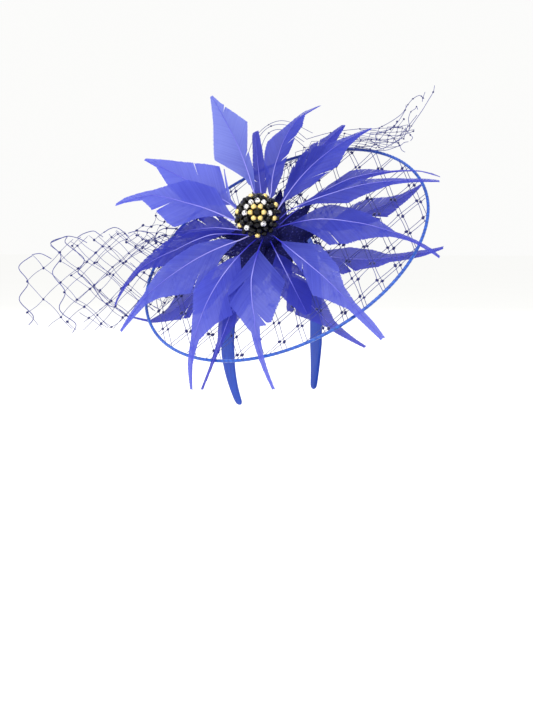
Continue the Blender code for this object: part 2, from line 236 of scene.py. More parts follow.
satin = Finish("cobalt satin", {"Sheen Weight": 0.15, "Sheen Roughness": 0.35, "Specular IOR Level": 0.5})
pulls = satin.grain(90, 3, stretch=(1, 14, 1))
weave = satin.grain(1400, 2)
satin.feed(satin.shader, {
    "Base Color": satin.blend(pulls, (2, 38, 140), (10, 76, 190)),
    "Roughness": 0.30 + pulls * 0.2,
    "Normal": satin.relief(pulls * 0.7 + weave * 0.3, 0.4 * MM, 0.5),
})
band_shape = bmesh.new()
bmesh.ops.create_grid(band_shape, x_segments=160, y_segments=20, size=1)
for vert in band_shape.verts:
    share, turn = vert.co.x, vert.co.y * math.pi
    share = 0.5 * (math.sin(share * math.pi / 2) + share)
    taper = min(1.0, 0.5 + 1.6 * (1 - abs(share)))
    end = min(1.0, (1 - abs(share)) / 0.035)
    half = band_width / 2 * taper * math.sqrt(max(0.0, 1 - (1 - end) ** 2))
    flat, full = math.cos(turn), math.sin(turn)
    across = math.copysign(abs(flat) ** 0.45, flat) * half
    lift = (1 + math.copysign(abs(full) ** 0.8, full) * min(1.0, end * 4)) * band_thickness / 2
    place, outward = band_path(share)
    vert.co = place + outward * lift + Vector((0, across, 0))
bmesh.ops.remove_doubles(band_shape, verts=band_shape.verts[:], dist=0.02 * MM)
bmesh.ops.recalc_face_normals(band_shape, faces=band_shape.faces[:])
set_piece("satin_band", band_shape, [satin], "satin_blue", ["headband"])


# Join pad: stiff blue felt under the net, with the hoop and flower sewn to it and its foot on the band.
# It is a plain piece that only shows from behind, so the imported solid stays, in felt.
felt = Finish("blue felt", {"Roughness": 0.95, "Sheen Weight": 0.5, "Specular IOR Level": 0.1})
fibres = felt.grain(900, 6)
felt.feed(felt.shader, {
    "Base Color": felt.blend(fibres, (14, 30, 110), (34, 70, 180)),
    "Normal": felt.relief(fibres, 0.5 * MM),
})
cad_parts["mount_pad"].data.materials.clear()
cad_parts["mount_pad"].data.materials.append(felt.material)


# Hoop: a spring wire ring pulled to an oval by the net, closely wound with bright blue satin cord. Each
# turn of the cord lies a little proud at one edge, with painted shade in the groove between turns, and
# painted shade darkens the cord along the far upper side.
facing_up, turned_forward, long_axis_rise = math.radians(37.1), math.radians(7.7), math.radians(38.2)
outwards = Vector((
    -math.cos(facing_up) * math.cos(turned_forward),
    -math.cos(facing_up) * math.sin(turned_forward),
    math.sin(facing_up),
))
level = Vector((0, 0, 1)).cross(outwards).normalized()
long_axis = Matrix.Rotation(long_axis_rise, 3, outwards) @ level
disc = Matrix.Translation(disc_middle) @ Matrix(
    (long_axis, outwards.cross(long_axis), outwards)
).transposed().to_4x4()
hoop_length, hoop_breadth, cord_radius = 238.6 * MM, 182.6 * MM, 1.25 * MM
cord_turns = 190
# The flower's axis on the disc, in mm
flower_at = (-5.5, 14)

cord_silk = Finish(
    "wound satin cord", {"Sheen Weight": 0.3, "Sheen Roughness": 0.4, "Specular IOR Level": 0.6}
)
run = cord_silk.layer("run")
shade = cord_silk.layer("shade")
thread = cord_silk.node("ShaderNodeMath", {"operation": "SINE"}, {0: run * (cord_turns * math.tau)})
# Painted shade: thread in the colour darkens each turn's groove, besides shaping its bump and shine.
silk = cord_silk.blend(cord_silk.grain(260) + thread * 0.2, (2, 44, 142), (18, 98, 206))
cord_silk.feed(cord_silk.shader, {
    "Base Color": cord_silk.blend(shade, silk, (12, 40, 122)),
    "Roughness": 0.34 + thread * 0.05,
    "Normal": cord_silk.relief(thread, 0.08 * MM, 0.6),
})
hoop_shape = bmesh.new()
bmesh.ops.create_grid(hoop_shape, x_segments=cord_turns * 4, y_segments=10, size=1)
run_layer = hoop_shape.verts.layers.float.new("run")
painted_shade_layer = hoop_shape.verts.layers.float.new("shade")
for vert in hoop_shape.verts:
    round_hoop, round_cord = (vert.co.x + 1) * math.pi, vert.co.y * math.pi
    vert[run_layer] = (vert.co.x + 1) / 2 + round_cord / math.tau / cord_turns
    # Painted shade: the cord is darkened along the far upper side of the hoop.
    vert[painted_shade_layer] = 0.85 * max(0.0, math.cos(round_hoop - math.radians(52))) ** 6
    proud = 1 + 0.16 * ((vert[run_layer] * cord_turns) % 1 - 0.5)
    hoop_x, hoop_y = math.cos(round_hoop), math.sin(round_hoop)
    outward = Vector((hoop_x * hoop_breadth, hoop_y * hoop_length, 0)).normalized()
    middle = Vector((hoop_length / 2 * hoop_x, hoop_breadth / 2 * hoop_y, 0))
    bend = outward * math.cos(round_cord) + Vector((0, 0, math.sin(round_cord)))
    vert.co = middle + bend * (cord_radius * proud)
bmesh.ops.remove_doubles(hoop_shape, verts=hoop_shape.verts[:], dist=0.01 * MM)
bmesh.ops.recalc_face_normals(hoop_shape, faces=hoop_shape.faces[:])
set_piece("wound_hoop", hoop_shape, [cord_silk], "cord_blue", ["hoop"], disc)


# Net over the hoop: navy millinery net of fine thread, laid double and bound round the hoop under the
# cord. Where threads cross they are tied, and every knot holds a chenille dot, so the dots lie in pairs.
net_thread, dot_radius = 0.25 * MM, 1.35 * MM
thread_headings = (80, 14)
# Each layer: where its first knot lies in mm on the disc, its turn in degrees, its mesh, its height in mm,
# its dots' size, and how far in mm it reaches from the flower. The last two are gathered under the petals.
net_layers = (
    ((109.5, -4.7), 0, 18.3, 0.25, 1.0, 300),
    ((112.1, -6.8), 0, 18.3, -0.25, 1.0, 300),
    ((-5.5, 14), 21, 7.0, 1.1, 0.75, 52),
    ((-3.5, 17), 52, 8.0, 1.9, 0.75, 44),
)
net_dyed = Finish("navy net thread", {"Roughness": 0.55, "Specular IOR Level": 0.3})
dye = net_dyed.grain(60)
net_dyed.feed(net_dyed.shader, {
    "Base Color": net_dyed.blend(dye, (40, 44, 112), (78, 84, 158)),
    "Normal": net_dyed.relief(net_dyed.grain(3000), 0.05 * MM),
})
chenille = Finish("navy chenille", {"Roughness": 0.9, "Sheen Weight": 0.6, "Specular IOR Level": 0.1})
pile = chenille.grain(2600, 4)
chenille.feed(chenille.shader, {
    "Base Color": chenille.blend(pile, (14, 16, 64), (44, 50, 128)),
    "Normal": chenille.relief(pile, 0.3 * MM),
})


def along_curve(points, share):
    """A smooth point at a share of a run of points, in as many figures as each point has."""
    last = len(points) - 1
    k = min(int(share * last), last - 1)
    t = share * last - k
    before, here, there, after = (points[min(max(j, 0), last)] for j in (k - 1, k, k + 1, k + 2))
    return [
        b + 0.5 * t * (c - a + t * (2 * a - 5 * b + 4 * c - d + t * (3 * (b - c) + d - a)))
        for a, b, c, d in zip(before, here, there, after)
    ]


def add_threads(shape, runs, radius):
    """Round thread along each run of points, swept by a curve and added to the shape."""
    curve = bpy.data.curves.new("thread", "CURVE")
    curve.dimensions = "3D"
    curve.bevel_depth, curve.bevel_resolution = radius, 1
    curve.use_fill_caps = True
    for run_points in runs:
        spline = curve.splines.new("POLY")
        spline.points.add(len(run_points) - 1)
        for knot, place in zip(spline.points, run_points):
            knot.co = (*place, 1)
    swept = bpy.data.objects.new("thread", curve)
    bpy.context.scene.collection.objects.link(swept)
    bpy.context.view_layer.update()
    solid = swept.evaluated_get(bpy.context.evaluated_depsgraph_get()).to_mesh()
    shape.from_mesh(solid)
    bpy.data.objects.remove(swept)
    bpy.data.curves.remove(curve)


dot_form = bmesh.new()
bmesh.ops.create_uvsphere(dot_form, u_segments=8, v_segments=5, radius=1)
for face in dot_form.faces:
    face.material_index = 1
dot_mesh = bpy.data.meshes.new("dot")
dot_form.to_mesh(dot_mesh)


def add_dots(shape, places, radius, chance):
    """Chenille dots tied on at knots, each a slightly squashed ball, in the piece's second finish."""
    for place in places:
        first = len(shape.verts)
        shape.from_mesh(dot_mesh)
        shape.verts.ensure_lookup_table()
        size = radius * chance.uniform(0.8, 1.15)
        turn = Matrix.Rotation(chance.uniform(0, math.tau), 3, "Z")
        for vert in shape.verts[first:]:
            squashed = Vector((vert.co.x * 1.2, vert.co.y * 0.9, vert.co.z * 0.7))
            vert.co = Vector(place) + turn @ squashed * size


chance = random.Random(11)
net_shape = bmesh.new()
thread_runs = []
gather_middle = Vector((*flower_at, 0)) * MM
for (first_x, first_y), swing, mesh_size, height, dot_share, reach in net_layers:
    step_a, step_b = (
        Vector((math.cos(math.radians(h + swing)), math.sin(math.radians(h + swing)), 0)) * (mesh_size * MM)
        for h in thread_headings
    )
    start = Vector((first_x, first_y, height)) * MM - step_b * 6
    knots, ties = [], {}
    for i in range(-18, 18):
        for j in range(-18, 18):
            wander = Vector((chance.uniform(-1, 1), chance.uniform(-1, 1), 0)) * (0.04 * mesh_size * MM)
            ties[i, j] = start + step_a * i + step_b * j + wander
    inside = lambda p, edge: (
        (p.x / (hoop_length / 2 - edge)) ** 2 + (p.y / (hoop_breadth / 2 - edge)) ** 2 < 1
        and (p - gather_middle).length < reach * MM
    )
    for (i, j), tie in ties.items():
        if inside(tie, 3 * MM):
            knots.append(tie)
        for far in (ties.get((i + 1, j)), ties.get((i, j + 1))):
            if far is None:
                continue
            sag = Vector((chance.uniform(-1, 1), chance.uniform(-1, 1), 0)) * (0.03 * mesh_size * MM)
            run_points = [tie.lerp(far, t) + sag * (4 * t * (1 - t)) for t in (k / 8 for k in range(9))]
            run_points = [p for p in run_points if inside(p, 0)]
            if len(run_points) > 1:
                thread_runs.append(run_points)
    add_dots(net_shape, knots, dot_radius * dot_share, chance)
add_threads(net_shape, thread_runs, net_thread)
set_piece("double_net", net_shape, [net_dyed, chenille], "net_navy", ["hoop_net"], disc)


# Veiling: the ends of the same net, gathered under the flower. Its lengths leave at the back, one over the
# other. Each has a thicker selvedge that bulges between its knots, scalloped folds above, cut threads below.
veil_thread, selvedge_thread, veil_dot = 0.20 * MM, 0.34 * MM, 1.15 * MM
veil_heading, veil_reach = math.radians(156.7), 207
# First knot in mm on the disc, then the steps along a length and across it, its height over the first, and
# the x where it begins
veil_lengths = (
    ((-194, 100), (17.4, 7.5), (7.2, -24.2), 0.0, -210),
    ((-169, 73), (16.0, 8.0), (8.2, -23.4), 0.7, -182),
    ((-158, 86), (16.5, 6.5), (7.5, -22.0), 0.4, -166),
    ((-146, 62), (15.0, 5.0), (6.0, -20.0), 1.3, -152),
    ((-112, 70), (11.0, 6.5), (5.0, -14.0), 2.0, -112),
    ((-84, 84), (8.0, 4.0), (3.5, -10.0), 2.6, -92),
)
# Threads in mm on the disc: selvedges of the lengths, the scalloped folds, and the cut ends
veil_selvedges = (
    ((-181, 124), (-195, 118), (-193, 98), (-205, 85), (-200, 63), (-206, 56)),
    (
        (-148, 128), (-163, 129), (-160, 110), (-172, 97), (-169, 73),
        (-178, 61), (-178, 52), (-172, 37), (-177, 30),
    ),
    (
        (-148, 128), (-152, 123), (-149, 113), (-144, 96), (-153, 86),
        (-150, 77), (-147, 63), (-144, 43), (-136, 30), (-132, 19),
    ),
    ((-181, 125), (-174, 122), (-168, 112)),
    ((-163, 129), (-155, 129), (-148, 128), (-141, 121), (-136, 112)),
    ((-141, 122), (-135, 123), (-127, 121), (-124, 115), (-122, 110)),
    ((-120, 114), (-114, 115), (-108, 113), (-105, 107), (-103, 100)),
    ((-102, 104), (-96, 105), (-89, 103), (-85, 97), (-84, 90)),
    ((-84, 90), (-80, 99), (-73, 105), (-65, 103), (-59, 94)),
)
# Where the lengths leave the flower, the net is crumpled: the middle and half widths of that patch in mm
crumple_x, crumple_y, crumple_length, crumple_breadth = -71, 82, 31, 24
# The veiling's upper and lower outline in mm on the disc
veil_top = (
    (-210, 121), (-181, 126), (-163, 130), (-141, 122), (-120, 115),
    (-100, 105), (-84, 93), (-60, 92), (-30, 70),
)
veil_low = ((-210, 60), (-178, 33), (-160, 21), (-140, 12), (-123, 18), (-110, 8), (-30, -20))


def height_at(rows, x):
    """The y of a line of points at an x, along straight lines between them."""
    for (low, value), (high, following) in zip(rows, rows[1:]):
        if x <= high:
            return value + (following - value) * (x - low) / (high - low)
    return rows[-1][1]


def veil_place(x, y, lift):
    """A point of the veiling: drawn in towards the flower, and lifting away from the hoop at its free end."""
    middle = flower_at[1] + (flower_at[0] - x) * 0.431
    drawn = min(1.0, 0.3 + 0.0092 * (-34 - x))
    y = middle + (y - middle) * drawn
    off_x, off_y = x - flower_at[0], y - flower_at[1]
    out = (math.cos(veil_heading) * off_x + math.sin(veil_heading) * off_y) / veil_reach
    return Vector((x, y, 2.4 + 10 * max(0.0, (out - 0.6) / 0.4) ** 1.4 + lift)) * MM


def in_crumple(x, y):
    """Whether a point in mm on the disc lies in the crumpled patch."""
    return ((x - crumple_x) / crumple_length) ** 2 + ((y - crumple_y) / crumple_breadth) ** 2 < 1


def thread_between(start, end, bow, steps=6):
    """Points of a thread from one knot to the next, bowed to the side in mm."""
    (x0, y0), (x1, y1) = start, end
    long = math.hypot(x1 - x0, y1 - y0) or 1.0
    for k in range(steps + 1):
        t = k / steps
        off = bow * 4 * t * (1 - t)
        yield x0 + (x1 - x0) * t - (y1 - y0) / long * off, y0 + (y1 - y0) * t + (x1 - x0) / long * off


veil_shape = bmesh.new()
chance = random.Random(3)
thread_runs, selvedge_runs, knots = [], [], []
for (x0, y0), (ax, ay), (cx, cy), lift, begins in veil_lengths:
    ties = {
        (i, j): (
            x0 + ax * i + cx * j + chance.uniform(-1.6, 1.6), y0 + ay * i + cy * j + chance.uniform(-1.6, 1.6)
        )
        for i in range(-6, 14) for j in range(-7, 8)
    }
    inside = lambda x, y: begins < x < -32 and height_at(veil_low, x) < y < height_at(veil_top, x)
    for (i, j), (x, y) in ties.items():
        if inside(x, y) and i + j >= 0:
            knots.append(veil_place(x, y, lift))
        for far in ((i + 1, j), (i, j + 1)):
            if far in ties and i + j >= 0:
                run_points = [
                    veil_place(*point, lift)
                    for point in thread_between((x, y), ties[far], chance.uniform(-1.4, 1.4))
                    if inside(*point)
                ]
                if len(run_points) > 1:
                    thread_runs.append(run_points)
ties = {
    (i, j): (
        crumple_x + 6.5 * i + 5.0 * j + chance.uniform(-2.4, 2.4),
        crumple_y + 5.0 * i - 6.5 * j + chance.uniform(-2.4, 2.4),
        2.8 + chance.uniform(-0.4, 2.2),
    )
    for i in range(-5, 6) for j in range(-5, 6)
}
for (i, j), (x, y, z) in ties.items():
    if not in_crumple(x, y):
        continue
    knots.append(Vector((x, y, z)) * MM)
    for far in ((i + 1, j), (i, j + 1)):
        if far in ties and in_crumple(*ties[far][:2]):
            far_z = ties[far][2]
            run_points = thread_between((x, y), ties[far][:2], chance.uniform(-1.6, 1.6))
            thread_runs.append([
                Vector((*point, z + (far_z - z) * k / 6)) * MM for k, point in enumerate(run_points)
            ])
for run_points in veil_selvedges:
    steps = 8 * (len(run_points) - 1)
    selvedge_runs.append([veil_place(*along_curve(run_points, k / steps), 0.5) for k in range(steps + 1)])
add_threads(veil_shape, thread_runs, veil_thread)
add_threads(veil_shape, selvedge_runs, selvedge_thread)
add_dots(veil_shape, knots, veil_dot, chance)
set_piece(
    "side_veiling", veil_shape, [net_dyed, chenille], "net_navy",
    ["side_veil", "side_veil_inner"], disc,
)


# Wisp: the other end of the net, drawn together behind the top feathers. Its meshes are pulled long, and
# its loose selvedges end in an open loop and a fine tail that stand away from the hoop.
loose_thread, wisp_dot = 0.24 * MM, 0.8 * MM
# Its two edges in mm on the disc, with their height
wisp_upper = (
    (22, 66, 2.4), (56, 88, 2.4), (86, 81, 2.4), (111, 64, 3.5),
    (138, 54, 7.5), (157, 58, 12), (170, 61, 15.5),
)
wisp_lower = (
    (29, 42, 2.4), (63, 62, 2.4), (94, 52, 2.4), (118, 37, 3.5),
    (142, 38, 7.5), (159, 50, 12), (171, 57, 15.5),
)
# Single threads: the height of the first and last point, then the points in mm on the disc
wisp_threads = (
    (
        2.4, 13, (65, 93), (84, 85), (105, 71), (114, 62), (120, 59), (131, 58), (140, 59),
        (147, 63), (153, 65), (158, 64), (159, 61), (159, 56),
    ),
    (11, 14, (157, 56), (159, 58), (163, 61)),
    (
        4, 15, (100, 44), (110, 38), (121, 37), (127, 36), (133, 37.5), (138, 40),
        (146, 44), (153, 47.5), (162, 53), (168, 56.5), (172, 61),
    ),
    (4, 10, (104, 52), (116, 42), (119, 37), (125, 36), (130, 39), (136, 42), (147, 47)),
    (4, 12, (108, 60), (118, 53), (128, 52), (135, 54), (142, 58), (145, 61)),
    (3, 5, (105, 71), (114, 62), (118, 55), (121, 48), (122, 43), (122, 33), (121, 27), (122, 23)),
    (8, 9, (133, 42), (133, 38), (133, 33), (133, 29), (130, 27)),
    (5, 7, (110, 50), (113, 56), (124, 52), (127, 52), (130, 48), (133, 47)),
    (11, 8, (150, 51), (151, 55), (149, 54), (145, 54), (140, 49), (137, 42), (134, 38)),
    (2.4, 5, (84, 72), (99, 60), (105, 57), (108, 47), (108, 42), (110, 37)),
    (2.4, 6, (80, 66), (96, 55), (103, 49), (108, 46), (112, 39), (121, 32), (126, 32), (129, 30)),
    (2.4, 8, (86, 70), (100, 62), (107, 54), (113, 46), (117, 43), (127, 40), (134, 43)),
    (2.4, 4, (82, 62), (96, 54), (105, 42), (112, 36), (122, 33)),
    (2.4, 2.4, (8, 78), (20, 104), (33, 123), (47, 128), (59, 118), (65, 93)),
    (2.4, 2.4, (14, 78), (28, 108), (42, 122), (54, 116), (62, 92)),
    (2.4, 2.4, (4, 84), (14, 106), (28, 124), (46, 131), (60, 124), (72, 96)),
    (2.4, 2.4, (18, 72), (32, 104), (46, 114), (56, 104), (60, 84)),
)
wisp_shape = bmesh.new()
thread_runs, loose_runs, knots = [], [], []


def wisp_place(along, across, lift):
    """A point of the wisp, by shares along it and from its upper edge to its lower one."""
    upper, lower = along_curve(wisp_upper, along), along_curve(wisp_lower, along)
    x, y, z = (a + (b - a) * across for a, b in zip(upper, lower))
    return Vector((x, y, z + lift)) * MM


for set_back, drop, lift, seed in ((0.0, 0.0, 0.0, 21), (0.03, 0.12, 0.8, 23)):
    chance = random.Random(seed)
    columns, rows = 16, 4
    ties = {
        (i, j): (i / columns * 0.62 + set_back + chance.uniform(-0.012, 0.012), drop + j / rows * (1 - drop))
        for i in range(columns + 1)
        for j in range(rows + 1)
        if (i + j) % 2 == 0
    }
    for (i, j), (along, across) in ties.items():
        if chance.random() < 0.8:
            knots.append(wisp_place(max(along, 0), across, lift))
        for far in ((i + 1, j + 1), (i + 1, j - 1)):
            if far in ties:
                run_points = thread_between((along, across), ties[far], 0, 4)
                thread_runs.append([wisp_place(max(x, 0), y, lift) for x, y in run_points])
for first, last, *run_points in wisp_threads:
    steps = 8 * (len(run_points) - 1)
    loose_runs.append([
        Vector((*along_curve(run_points, k / steps), first + (last - first) * k / steps)) * MM
        for k in range(steps + 1)
    ])
    knots += [
        Vector((*run_points[k], first + (last - first) * k / (len(run_points) - 1))) * MM
        for k in range(1, len(run_points) - 1) if chance.random() < 0.45
    ]
add_threads(wisp_shape, thread_runs, veil_thread)
add_threads(wisp_shape, loose_runs, loose_thread)
add_dots(wisp_shape, knots, wisp_dot, chance)
set_piece("gathered_wisp", wisp_shape, [net_dyed, chenille], "net_navy", ["top_wisp"], disc)


# Petal base: a rosette of ten dark navy petals, cut from crusty looped cloth and stiffened, round the
# bound quill ends. They lie in two tiers, lift at the tip, and are hollow along the middle and rippled.
flower_x, flower_y = (part * MM for part in flower_at)
petal_root = 7 * MM
# Turn in degrees from the hoop's long axis and reach in mm, petal by petal
petals_cut = (
    (14, 45), (54, 50), (90, 44), (134, 45), (162, 42), (196, 42), (234, 44), (270, 43), (306, 45), (332, 42),
)
loops = Finish("navy looped cloth", {"Specular IOR Level": 0.2})
crust = loops.grain(520, 5)
fleck_stops = ((0.6, (0, 0, 0)), (0.7, (1, 1, 1)))
fleck = loops.node("ShaderNodeValToRGB", {"stops": fleck_stops}, {"Fac": loops.grain(620, 3)})
loops.feed(loops.shader, {
    "Base Color": loops.blend(fleck, loops.blend(crust, (4, 4, 40), (20, 22, 104)), (72, 76, 160)),
    "Roughness": 0.8 - fleck * 0.45,
    "Normal": loops.relief(crust, 1.2 * MM),
})
petal_shape = bmesh.new()
chance = random.Random(4)
for k, (petal_turn, petal_reach) in enumerate(petals_cut):
    turn, reach = math.radians(petal_turn), petal_reach * MM
    made = bmesh.ops.create_grid(petal_shape, x_segments=36, y_segments=14, size=1)["verts"]
    spoke, side = Vector((math.cos(turn), math.sin(turn), 0)), Vector((-math.sin(turn), math.cos(turn), 0))
    tier = k % 2
    for vert in made:
        t, w = (vert.co.x + 1) / 2, vert.co.y
        frill = 1 + (0.07 * math.sin(t * 46 + 3 * k) + chance.uniform(-0.05, 0.05)) * abs(w)
        swell = 7.6 * math.sin(math.pi * min(1, t * 1.05) ** 0.85) ** 0.9 * (1 - 0.35 * t)
        half = frill * (2.6 + swell) * (1 - t**5) * MM
        height = 2.3 + 0.8 * tier + 2.4 * t * t + 0.5 * w * w + 0.3 * math.sin(w * 5 + t * 9 + k)
        height += chance.uniform(-0.2, 0.2)
        place = spoke * (petal_root + (reach - petal_root) * t) + side * (half * w)
        vert.co = place + Vector((flower_x, flower_y, height * MM))
bmesh.ops.remove_doubles(petal_shape, verts=petal_shape.verts[:], dist=0.01 * MM)
bmesh.ops.create_cone(
    petal_shape, cap_ends=True, segments=24, radius1=7.8 * MM, radius2=7.4 * MM, depth=18 * MM,
    matrix=Matrix.Translation((flower_x, flower_y, 10.5 * MM)),
)
petals = set_piece("petal_rosette", petal_shape, [loops], "petal_navy", ["petal_base"], disc)
wall = petals.modifiers.new("cloth", "SOLIDIFY")
wall.thickness, wall.offset = 0.9 * MM, 0


# Feathers: dyed goose feathers, each cut by hand to a diamond with straight edges. The quill is stripped
# bare at its root, the barbs split here and there, and beyond the cut the feather runs out in a thin tail.
quill_heights = {"upper": 20 * MM, "lower": 14.5 * MM, "back": -2.1 * MM}
quill_starts = {"upper": 8.3 * MM, "lower": 8.3 * MM, "back": 15.3 * MM}
# turn: degrees from the hoop's long axis; length in mm from the flower's axis; rise of the tip in degrees;
# arch and bow: height and sideways bend at half length, as shares of it; roll in degrees; bed: its layer
feather_columns = ("turn", "length", "rise", "arch", "bow", "roll", "bed")
